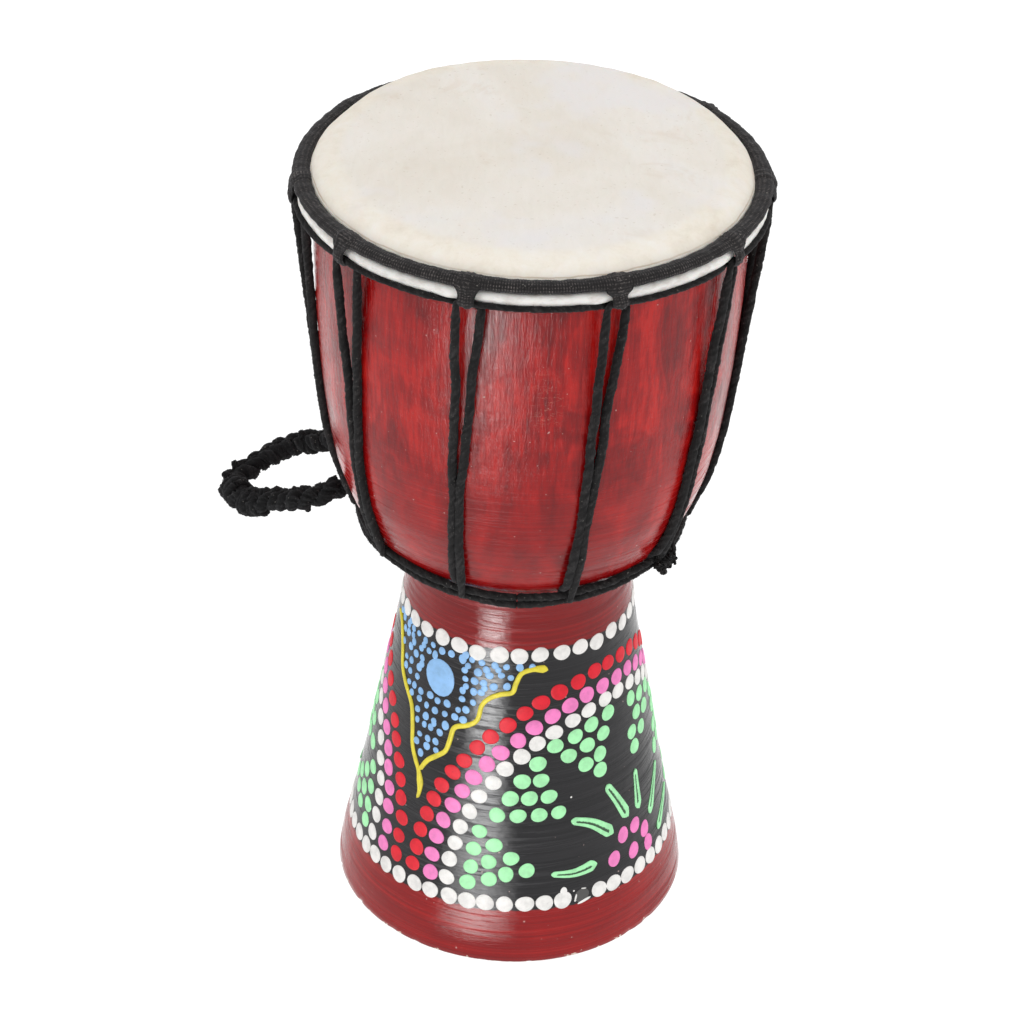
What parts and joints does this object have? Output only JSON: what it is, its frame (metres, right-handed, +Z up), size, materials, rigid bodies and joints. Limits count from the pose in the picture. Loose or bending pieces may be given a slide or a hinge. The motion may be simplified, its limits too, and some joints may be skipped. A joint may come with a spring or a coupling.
{
  "type": "djembe",
  "caption": "Small rope-tuned goblet drum with a turned, lacquered wooden shell, goatskin head, cloth-wrapped crown ring, dot-painted foot and braided carry loop.",
  "frame": {"origin": "centre of the foot's underside, on the drum's axis", "axes": "+Z up the drum's axis to the head; -Y is the side that faces a viewer, with the carry handle to the viewer's left, towards -X"},
  "size_m": [0.1931, 0.1608, 0.3034],
  "materials": {
    "lacquered_wood": "red stained and lacquered bowl; black painted foot with raised dots of matt paint",
    "goatskin": "cream rawhide, shaved smooth, faintly mottled",
    "ring_steel": "plain drawn steel rod",
    "woven_cloth": "black plain-woven cloth strip",
    "rope": "black twisted polyester rope",
    "braid": "soft black braid, slightly fuzzy"
  },
  "bodies": {
    "drum": {"shell": "lacquered_wood", "drum_head": "goatskin", "flesh_ring": "ring_steel", "crown_ring": "ring_steel", "crown_ring_wrap": "woven_cloth", "cradle_loop_01": "woven_cloth", "cradle_loop_02": "woven_cloth", "cradle_loop_03": "woven_cloth", "cradle_loop_04": "woven_cloth", "cradle_loop_05": "woven_cloth", "cradle_loop_06": "woven_cloth", "cradle_loop_07": "woven_cloth", "cradle_loop_08": "woven_cloth", "cradle_loop_09": "woven_cloth", "cradle_loop_10": "woven_cloth", "waist_cord_upper": "rope", "waist_cord_lower": "rope", "lacing": "rope", "lacing_end_knot": "rope", "handle_tie_front": "rope", "handle_tie_back": "rope"},
    "handle": {"carry_handle": "braid"}
  },
  "joints": [
    {"name": "handle_swing", "type": "hinge", "parent": "drum", "child": "handle", "pos_m": [-0.05955, 0.01878, 0.16345], "axis": [0.3007, 0.9537, 0], "range_deg": [-64, 66]}
  ]
}
